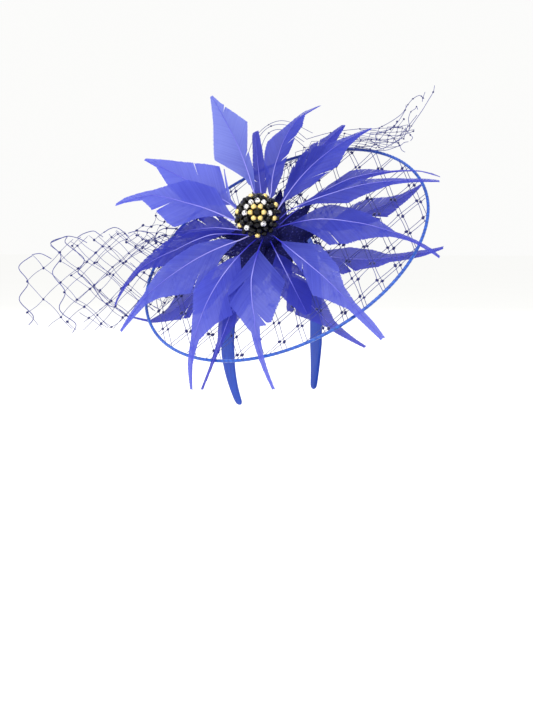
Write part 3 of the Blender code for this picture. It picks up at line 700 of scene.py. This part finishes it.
# Each feather is set on its line by that row. Its shaft and its two cut edges follow as shares of its length
# with mm to the side: the left edge is the one counter-clockwise. A split is a side, share and width in mm.
feathers = {
    "01": (
        (82, 151, 5, 0.03, -0.03, 9, "upper"),
        ((0, 0), (0.25, -1), (0.5, -1), (0.75, 0), (1, 0)),
        ((0.22, 1), (0.29, 3), (0.54, 22.5), (0.86, 7), (1, 1)),
        ((0.18, -2), (0.32, -6), (0.47, -7), (0.65, -16), (0.90, -3.5), (1, -1)),
        (("right", 0.80, 1.6), ("right", 0.40, 1.5)),
    ),
    "02": (
        (114, 140, 5, 0.01, -0.01, 1, "lower"),
        ((0, 0), (0.25, -4), (0.5, -4), (0.75, -3), (1, -3)),
        ((0.26, -2), (0.5, 15), (0.71, 9), (0.88, -1), (1, -2)),
        ((0.2, -5), (0.3, -8), (0.5, -29), (0.63, -23.5), (0.96, -6), (1, -4)),
        (("right", 0.27, 2.6), ("right", 0.5, 0.8)),
    ),
    "03": (
        (133, 137, 2, 0.04, -0.07, 15, "upper"),
        ((0, 0), (0.15, 4), (0.5, 1), (0.75, -4), (1, 0)),
        ((0.2, 4), (0.36, 10), (0.52, 23), (0.58, 20), (0.72, 8), (0.81, 0), (0.92, 0), (1, 1)),
        ((0.12, 3), (0.2, -3), (0.33, -17), (0.54, -19), (0.75, -9), (0.95, -5), (1, -1)),
        (("left", 0.56, 2.4), ("left", 0.2, 1.5)),
    ),
    "04": (
        (174, 132, -1, 0.02, -0.15, 12, "lower"),
        ((0, 0), (0.25, -5), (0.5, -2), (0.78, -6.5), (1, 0)),
        ((0.18, -4), (0.4, 5), (0.48, 7), (0.59, 7), (0.76, -4), (0.9, -4), (1, 1)),
        ((0.13, -6), (0.24, -9), (0.47, -15), (0.57, -14), (0.78, -9.5), (0.91, -7), (1, -1)),
        (),
    ),
    "05": (
        (185, 137, -4, 0.05, -0.08, 15, "upper"),
        ((0, 0), (0.1, 2), (0.5, 1), (0.75, -1), (1, 0)),
        ((0.12, 3), (0.25, 10), (0.45, 30), (0.58, 18), (0.7, 8), (0.78, 4), (1, 1)),
        ((0.12, 0), (0.2, -6), (0.33, -11), (0.52, -11), (0.62, -10), (0.76, -4), (1, -1)),
        (("left", 0.3, 0.8),),
    ),
    "06": (
        (221, 143, -6, 0.05, -0.09, 11, "upper"),
        ((0, 0), (0.25, -1), (0.5, -2), (0.75, -2.5), (1, -1)),
        ((0.16, 1), (0.36, 19), (0.5, 22), (0.6, 11), (0.73, 1), (0.87, -1), (1, 0)),
        ((0.16, -3), (0.3, -13), (0.46, -16), (0.58, -10), (0.71, -5.5), (0.87, -5), (1, -2)),
        (("left", 0.3, 0.8),),
    ),
    "07": (
        (246, 139, -8, 0.04, -0.09, 13, "upper"),
        ((0, 0), (0.3, 0), (0.55, 3), (0.75, 1.5), (1, 1)),
        ((0.1, 4), (0.15, 9), (0.29, 27), (0.44, 23), (0.59, 15), (0.61, 6), (0.77, 4), (1, 2)),
        ((0.1, -1), (0.22, -9), (0.34, -16), (0.42, -17), (0.52, -10), (0.65, -1), (0.8, -0.5), (1, 0)),
        (("right", 0.26, 4.0), ("left", 0.5, 1.2)),
    ),
    "08": (
        (283, 140, -8, 0.04, 0.01, 13, "upper"),
        ((0, 0), (0.25, 0), (0.5, 1), (0.75, 0.5), (1, 0)),
        ((0.1, 4), (0.21, 16), (0.27, 20), (0.46, 17), (0.61, 7), (0.73, 4), (0.9, 3.5), (1, 2)),
        ((0.12, -2), (0.38, -8), (0.55, -16), (0.61, -12), (0.74, -4), (0.9, -3), (1, -2)),
        (("right", 0.3, 1.2),),
    ),
    "09": (
        (314, 142, -5, 0.04, 0.12, 10, "upper"),
        ((0, 0), (0.25, 0), (0.45, -3), (0.65, -3), (1, 0)),
        ((0.09, 2), (0.18, 14), (0.28, 18), (0.43, 13), (0.53, 9), (0.62, 4), (0.72, -1), (0.94, 2), (1, 1)),
        ((0.1, -1), (0.3, -19), (0.4, -28), (0.5, -25), (0.63, -13), (0.71, -7), (0.83, -3), (1, -1)),
        (("right", 0.24, 0.8),),
    ),
    "10": (
        (342, 139, -3, 0.03, 0.08, 13, "upper"),
        ((0, 0), (0.1, 6), (0.4, 3), (0.6, 3), (0.8, 1.5), (1, 1)),
        ((0.16, 6), (0.3, 11), (0.47, 15), (0.68, 8), (0.82, 4), (0.94, 4), (1, 2.5)),
        ((0.16, 3), (0.28, -2), (0.46, -15), (0.58, -9), (0.71, -3), (0.88, -1), (1, 0)),
        (("left", 0.3, 0.8),),
    ),
    "11": (
        (18, 121, -1, 0.03, 0.09, 13, "upper"),
        ((0, 0), (0.15, -2), (0.5, -1), (0.75, 0), (1, 0)),
        ((0.16, 1), (0.4, 14), (0.6, 23), (0.66, 20), (0.73, 9), (0.87, 5), (0.92, 4), (1, 1)),
        ((0.15, -4), (0.38, -19), (0.58, -22), (0.65, -18), (0.75, -11), (0.88, -4), (1, -1)),
        (("left", 0.38, 1.8), ("right", 0.3, 1.0)),
    ),
    "12": (
        (41, 122, 3, 0.03, 0.12, 13, "upper"),
        ((0, 0), (0.2, -4), (0.5, -1), (0.7, 4), (0.88, 8), (1, 1)),
        ((0.17, -2), (0.37, 7), (0.56, 18), (0.65, 21), (0.76, 15), (0.94, 11.5), (1, 2)),
        ((0.14, -6), (0.35, -12), (0.57, -9), (0.7, -6), (0.78, -4), (0.9, 5), (1, 0)),
        (("right", 0.4, 1.8), ("right", 0.55, 1.4)),
    ),
    "13": (
        (70, 107, 2, 0.02, 0.0, 12, "lower"),
        ((0, 0), (1, 0)),
        ((0.2, 1), (0.42, 9), (0.62, 5), (0.97, 3), (1, 2)),
        ((0.2, -1), (0.45, -10), (0.62, -6), (0.9, -4), (1, -3)),
        (("left", 0.4, 1.6), ("right", 0.36, 1.4)),
    ),
    "14": (
        (31, 118, -1, 0.02, 0.05, 12, "lower"),
        ((0, 0), (0.9, 1), (1, 1)),
        ((0.25, 2), (0.5, 13), (0.76, 15), (0.86, 6), (1, 4)),
        ((0.25, -3), (0.6, -13), (0.8, -9), (0.93, -4), (1, 0)),
        (("left", 0.4, 1.6), ("left", 0.55, 1.6), ("left", 0.68, 1.4)),
    ),
    "15": (
        (346, 141, -4, 0.02, 0.17, 12, "lower"),
        ((0, 0), (0.25, -2), (0.5, 2), (0.74, 3), (0.9, 6), (1, 3)),
        ((0.22, -1), (0.42, 8), (0.51, 13.5), (0.62, 10), (0.74, 4.5), (0.9, 7), (0.96, 6.5), (1, 3.5)),
        ((0.2, -3), (0.35, -7), (0.5, -6), (0.74, 1.7), (0.9, 5.5), (1, 2.5)),
        (("left", 0.3, 1.2),),
    ),
    "16": (
        (266, 84, -8, 0.01, 0.0, 9, "lower"),
        ((0, 0), (1, 0)),
        ((0.2, 2), (0.5, 13), (0.8, 10), (1, 3)),
        ((0.2, -2), (0.5, -15), (0.8, -9), (1, -2)),
        (("left", 0.4, 1.6),),
    ),
    "17": (
        (223, 138, -7, 0.03, 0.02, 12, "lower"),
        ((0, 0), (0.25, -1), (0.5, -3), (0.7, -2.5), (1, -2)),
        ((0.2, 1), (0.4, 9), (0.51, 6), (0.66, 0), (0.82, -1), (1, -1.5)),
        ((0.2, -3), (0.42, -13), (0.56, -11), (0.7, -5), (0.85, -3.5), (1, -3)),
        (),
    ),
    "18": (
        (142, 80, -2, 0.02, 0.0, 12, "lower"),
        ((0, 0), (0.5, -4), (1, -2)),
        ((0.25, 0), (0.5, 6), (0.8, 4), (1, 0)),
        ((0.22, -4), (0.45, -14), (0.7, -16), (0.9, -9), (1, -3)),
        (("left", 0.4, 2.0), ("right", 0.35, 1.6), ("right", 0.55, 2.0), ("left", 0.6, 1.6)),
    ),
    "19": (
        (174, 125, -1, 0.0, 0.13, 4, "back"),
        ((0, 0), (0.25, -3), (0.52, -6), (0.72, 4), (0.88, 9), (1, 4)),
        ((0.2, 1), (0.45, 13), (0.63, 14), (0.75, 12), (0.88, 11), (1, 5)),
        ((0.2, -5), (0.53, -13), (0.64, -11), (0.75, 1), (0.88, 8), (1, 3)),
        (("left", 0.4, 1.6), ("left", 0.5, 1.2)),
    ),
    "20": (
        (278, 130, -2, 0.0, -0.07, 4, "back"),
        ((0, 0), (1, 0)),
        ((0.2, 2), (0.4, 13), (0.56, 9), (0.69, 4), (0.88, 2), (1, 1)),
        ((0.2, -4), (0.4, -17), (0.54, -10), (0.69, -4), (0.88, -2), (1, -1)),
        (("right", 0.3, 1.8),),
    ),
    "21": (
        (323, 137, -2, 0.0, -0.1, 4, "back"),
        ((0, 0), (0.8, 0), (0.9, -2), (1, -2)),
        ((0.2, 3), (0.4, 13), (0.55, 10), (0.65, 4.5), (0.83, 2.5), (0.94, 0), (1, -1)),
        ((0.2, -4), (0.39, -15), (0.5, -9.5), (0.61, -8), (0.68, -4), (0.88, -5), (1, -3.5)),
        (("right", 0.34, 1.8),),
    ),
    "22": (
        (353, 126, -2, 0.0, -0.06, 4, "back"),
        ((0, 0), (0.6, 0), (0.8, -4), (1, -4)),
        ((0.22, 3), (0.5, 15), (0.63, 15), (0.75, 5), (0.83, 0), (0.93, -2), (1, -3)),
        ((0.22, -4), (0.5, -13), (0.63, -14), (0.74, -13), (0.86, -10), (1, -5)),
        (("right", 0.35, 1.6), ("right", 0.5, 2.2)),
    ),
}
barb_pitch, barb_joints, vane_sink = 0.75 * MM, 4, 0.07
vane_end, widest_vane = 0.995, 45
ragged = ("04", "13", "14", "18", "22")


def part_way(rows, share):
    """The value at a share along straight lines between rows, or None before the first row."""
    if share < rows[0][0]:
        return None
    for (low, value), (high, following) in zip(rows, rows[1:]):
        if share <= high:
            return value + (following - value) * (share - low) / (high - low)
    return rows[-1][1]


def dyed_vane(name, light, dark, glow):
    """Dyed vane: streaked from barb to barb, with painted shade darker towards the quill root, soft in its
    shine, and lit through by lamps behind it.
    """
    vane = Finish(name, {"Specular IOR Level": 0.22, "Alpha": 0.86})
    own = vane.layer("barb")
    out = vane.layer("out")
    along = vane.layer("along")
    cloudy = vane.grain(38, 3)
    # Painted shade: the along term darkens the vane near the root and lightens it towards the tip.
    streak_and_root_shade = own * 0.44 + cloudy * 0.5 + out * 0.2 + along * 0.36 - 0.18
    colour = vane.blend(streak_and_root_shade, dark, light)
    fine = vane.grain(700, 2)
    vane.feed(vane.shader, {
        "Base Color": colour,
        "Roughness": 0.58 + own * 0.14,
        "Normal": vane.relief(fine, 0.03 * MM, 0.4),
    })
    through = vane.node("ShaderNodeBsdfTranslucent", {}, {"Color": tint(glow)})
    surface = vane.node("ShaderNodeMixShader", {}, {0: 0.48})
    vane.tree.links.new(vane.shader.outputs[0], surface.socket.node.inputs[1])
    vane.tree.links.new(through.socket, surface.socket.node.inputs[2])
    vane.feed(vane.tree.nodes["Material Output"], {"Surface": surface})
    return vane


# Five copies of the dyed vane with light and dark streaks and the light let through: uneven dye, and
# painted light and shade, paler or deeper where the lamps fall, and shaded under the upper layer.
vane_dyes_and_shading = {
    "pale vane": ((122, 134, 216), (62, 70, 180), (142, 152, 224)),
    "well lit vane": ((100, 110, 218), (52, 58, 180), (122, 131, 222)),
    "violet blue vane": ((92, 102, 218), (42, 46, 178), (118, 126, 222)),
    "deep vane": ((74, 83, 202), (32, 36, 150), (94, 102, 204)),
    "shaded vane": ((58, 64, 190), (24, 27, 140), (86, 92, 198)),
}
vanes = {name: dyed_vane(name, *dye_and_shade_tones) for name, dye_and_shade_tones in vane_dyes_and_shading.items()}
vane_choice = {"01": "pale vane"}
vane_choice.update({label: "well lit vane" for label in ("02", "03", "05", "07", "08")})
vane_choice.update({label: "deep vane" for label in ("09", "10", "11", "12")})
tinted_quills = ("06", "07", "08", "09", "10")
quill_horn = Finish("lilac quill", {"Specular IOR Level": 0.6})
rib = quill_horn.layer("out")
quill_horn.feed(quill_horn.shader, {
    "Base Color": quill_horn.blend(rib, (176, 170, 244), (56, 56, 200)),
    "Roughness": 0.3 + quill_horn.grain(400) * 0.15,
})
quill_tinted = Finish("dyed quill", {"Specular IOR Level": 0.6})
rib = quill_tinted.layer("out")
rib_stops = ((0, (30, 26, 190)), (0.16, (34, 30, 194)), (0.34, (150, 148, 236)), (0.95, (66, 64, 200)))
rib_ramp = {"stops": [(place, tint(colour)[:3]) for place, colour in rib_stops]}
quill_tinted.feed(quill_tinted.shader, {
    "Base Color": quill_tinted.node("ShaderNodeValToRGB", rib_ramp, {"Fac": rib}),
    "Roughness": 0.3 + quill_tinted.grain(400) * 0.15,
})

for label, (row, shaft_rows, left_rows, right_rows, splits) in feathers.items():
    spec = dict(zip(feather_columns, row))
    length, start = spec["length"] * MM, quill_starts[spec["bed"]]
    turn, rise, roll = (math.radians(spec[key]) for key in ("turn", "rise", "roll"))
    along = Vector((math.cos(turn), math.sin(turn), 0))
    side = Vector((-math.sin(turn), math.cos(turn), 0))
    lateral = side * math.cos(roll) - Vector((0, 0, math.sin(roll)))
    normal = side * math.sin(roll) + Vector((0, 0, math.cos(roll)))
    span = length * math.cos(rise) - start
    chance = random.Random(int(label) * 7)

    def feather_place(share, across, lift=0.0):
        """A point of the feather at a share of its length, mm to the side and mm above it."""
        middle = 4 * share * (1 - share)
        reach = start + span * share
        height = quill_heights[spec["bed"]] + reach * math.tan(rise) + spec["arch"] * length * middle
        bow = side * (spec["bow"] * length * middle)
        on_line = Vector((flower_x, flower_y, height)) + along * reach + bow
        off_shaft = abs(across - part_way(shaft_rows, min(share, 1)))
        sunk = lift - vane_sink * off_shaft
        return on_line + lateral * (across * MM) + normal * (sunk * MM)

    shape = bmesh.new()
    own_layer = shape.verts.layers.float.new("barb")
    out_layer = shape.verts.layers.float.new("out")
    along_layer = shape.verts.layers.float.new("along")
    for way, name, edge_rows in ((1, "left", left_rows), (-1, "right", right_rows)):
        side_splits = [(share, width) for where, share, width in splits if where == name]
        first = max(0.03, edge_rows[0][0] - 0.09)
        count = int(span * (vane_end - first) / barb_pitch)
        rails = []
        for k in range(count + 1):
            root = first + (vane_end - first) * k / count
            lean = 1.0 + 0.9 * root
            w = 0.0
            while w < widest_vane:
                share = root + lean * w * MM / span
                edge = part_way(edge_rows, share) if share < 1 else None
                if share >= 1 or (edge is None and w > 0.4):
                    break
                if edge is not None and w >= way * (edge - part_way(shaft_rows, share)):
                    break
                w += 0.25
            rails.append((root, lean, max(w, 0.25)))
        made = bmesh.ops.create_grid(shape, x_segments=count, y_segments=barb_joints, size=1)["verts"]
        faces = {face for vert in made for face in vert.link_faces}
        rungs = {
            edge for face in faces for edge in face.edges
            if abs(edge.verts[0].co.x - edge.verts[1].co.x) < 0.5 / count and not edge.is_boundary
        }
        bmesh.ops.split_edges(shape, edges=list(rungs))
        if way < 0:
            bmesh.ops.reverse_faces(shape, faces=list(faces))
        strips = {}
        for face in faces:
            strips.setdefault(int((face.calc_center_median().x + 1) / 2 * count), []).append(face)
        clumps = []
        k = 0
        while k < count:
            size = chance.randint(5, 13)
            part = chance.uniform(0.1, 0.5) ** 2 * (4 if label in ragged else 2.4)
            clumps += [(k, min(size, count - k), part)] * min(size, count - k)
            k += size
        for column, members in strips.items():
            head, size, gap = clumps[column]
            tone = chance.random()
            short = chance.uniform(0.93 if label in ragged else 0.97, 1.0)
            barb_root = first + (vane_end - first) * (column + 0.5) / count
            for vert in {vert for face in members for vert in face.verts}:
                x = (vert.co.x + 1) / 2 * count
                rail = round(x)
                t = (vert.co.y + 1) / 2
                root, lean, far = rails[rail]
                w = far * t * short
                share = root + lean * w * MM / span
                if far > 1:
                    share -= ((rail - head) / size - 0.5) * gap * t * t * MM / span
                    for split_share, width in side_splits:
                        off = barb_root - split_share
                        push = width * math.exp(-abs(off) * 22) * t * t
                        share += math.copysign(push, off) * MM / span
                overlap = 1 if rail > column else -1
                share += overlap * 0.16 * MM / span
                ripple = 0.35 * math.sin(share * 21 + int(label)) * t * min(1, far / 8)
                across = part_way(shaft_rows, min(share, 1)) + way * w
                vert.co = feather_place(min(share, 1.0), across, 0.06 * overlap + ripple)
                vert[own_layer], vert[out_layer], vert[along_layer] = tone, t, share
    rod = bmesh.ops.create_grid(shape, x_segments=30, y_segments=6, size=1)["verts"]
    for face in {face for vert in rod for face in vert.link_faces}:
        face.material_index = 1
    for vert in rod:
        share, round_quill = (vert.co.x + 1) / 2, vert.co.y * math.pi
        thick = (0.6 - 0.47 * share**0.7) * math.sqrt(min(1, share / 0.02, (1 - share) / 0.02))
        vert[out_layer] = min(1, share * 1.25)
        across = part_way(shaft_rows, share) + math.cos(round_quill) * thick
        vert.co = feather_place(share, across, 0.12 + math.sin(round_quill) * thick * 0.8)
    bmesh.ops.remove_doubles(shape, verts=rod, dist=0.005 * MM)
    # Feathers not listed take the violet blue vane on the upper bed and, below it, the shaded vane: painted
    # shade.
    vane = vanes[vane_choice.get(label, "violet blue vane" if spec["bed"] == "upper" else "shaded vane")]
    quill = quill_tinted if spec["bed"] != "upper" or label in tinted_quills else quill_horn
    set_piece(f"plume_{label}", shape, [vane, quill], "feather_blue", [f"feather_{label}"], disc)


# Beaded centre: a domed button sewn over with faceted black glass beads, six gilt beads round its middle
# one, seven more gilt beads near its rim and eight clear cut ones between. It leans forward and down.
dome_place, dome_lean = (flower_x, 15.5 * MM, 31.5 * MM), math.radians(32)
dome = disc @ Matrix.Translation(dome_place) @ Matrix.Rotation(dome_lean, 4, "X")
button_radius, bead_radius, bead_seat = 14.4 * MM, 2.3 * MM, 16.6 * MM
# Rings of beads: degrees from the top, how many, and the first one's turn. The last one is left off below.
bead_rings = ((0, 1, 0), (17.5, 6, 30), (35, 12, 0), (52.5, 16, 0), (70, 18, 0), (87, 20, 0))
last_ring, left_off_below = 5, -0.4
gold_turns = {1: (30, 90, 150, 210, 270, 330), 3: (315,), 4: (0, 40, 80, 140, 180, 240)}
clear_turns = {2: (30, 60, 90, 120, 150, 270, 330), 3: (202.5,)}
glass_black = Finish("black cut glass", {"Roughness": 0.1, "Specular IOR Level": 0.28})
smoke = glass_black.grain(240)
glass_black.feed(glass_black.shader, {"Base Color": glass_black.blend(smoke, (1, 1, 4), (10, 10, 18))})
gilt = Finish("pale gilt", {"Metallic": 0.85, "Specular IOR Level": 0.6})
rub = gilt.grain(300, 3)
gilt.feed(gilt.shader, {
    "Base Color": gilt.blend(rub, (214, 178, 92), (250, 232, 160)), "Roughness": 0.2 + rub * 0.15,
})
crystal = Finish("clear cut glass", {"Specular IOR Level": 1.0, "Coat Weight": 0.6})
# Painted reflections: a sharp step in noise sets white glints and dark facets into the clear beads' colour.
painted_glint_stops = ((0.4, (0, 0, 0)), (0.56, (1, 1, 1)))
painted_glints = crystal.node("ShaderNodeValToRGB", {"stops": painted_glint_stops}, {"Fac": crystal.grain(620, 1)})
crystal.feed(crystal.shader, {
    "Base Color": crystal.blend(painted_glints, (74, 74, 92), (252, 250, 248)), "Roughness": 0.06 + painted_glints * 0.12,
})
kinds = {"black": bmesh.new(), "gold": bmesh.new(), "clear": bmesh.new()}
chance = random.Random(2)
for ring, (tilt, count, first_turn) in enumerate(bead_rings):
    for k in range(count):
        degrees = first_turn + 360 * k / count
        turn = math.radians(degrees)
        if ring == last_ring and math.sin(turn) < left_off_below:
            continue
        gold, clear = (degrees in turns.get(ring, ()) for turns in (gold_turns, clear_turns))
        kind = "gold" if gold else "clear" if clear else "black"
        lean = math.radians(tilt)
        stand = bead_seat + (0 if kind != "black" else chance.uniform(-1.0, -0.2) * MM)
        axis = Vector((math.sin(lean) * math.cos(turn), math.sin(lean) * math.sin(turn), math.cos(lean)))
        size = bead_radius * (0.97 if kind != "black" else chance.uniform(0.95, 1.12))
        spun = Matrix.Translation(axis * stand) @ Matrix.Rotation(chance.uniform(0, 6), 4, axis)
        if kind == "gold":
            bmesh.ops.create_uvsphere(kinds[kind], u_segments=16, v_segments=10, radius=size, matrix=spun)
        else:
            bmesh.ops.create_icosphere(kinds[kind], subdivisions=2, radius=size, matrix=spun)
button = bmesh.ops.create_uvsphere(kinds["black"], u_segments=32, v_segments=20, radius=button_radius)
for vert in button["verts"]:
    if vert.co.z < 0:
        vert.co.z *= 0.75
for kind, finish, slot, replaced in (
    ("black", glass_black, "bead_black", ["bead_dome"]),
    ("gold", gilt, "bead_gold", [f"gold_bead_{k:02d}" for k in range(1, 14)]),
    ("clear", crystal, "bead_clear", [f"clear_bead_{k:02d}" for k in range(1, 9)]),
):
    beads = set_piece(f"{kind}_beads", kinds[kind], [finish], slot, replaced, dome)
    if kind != "gold":
        beads.data.shade_flat()
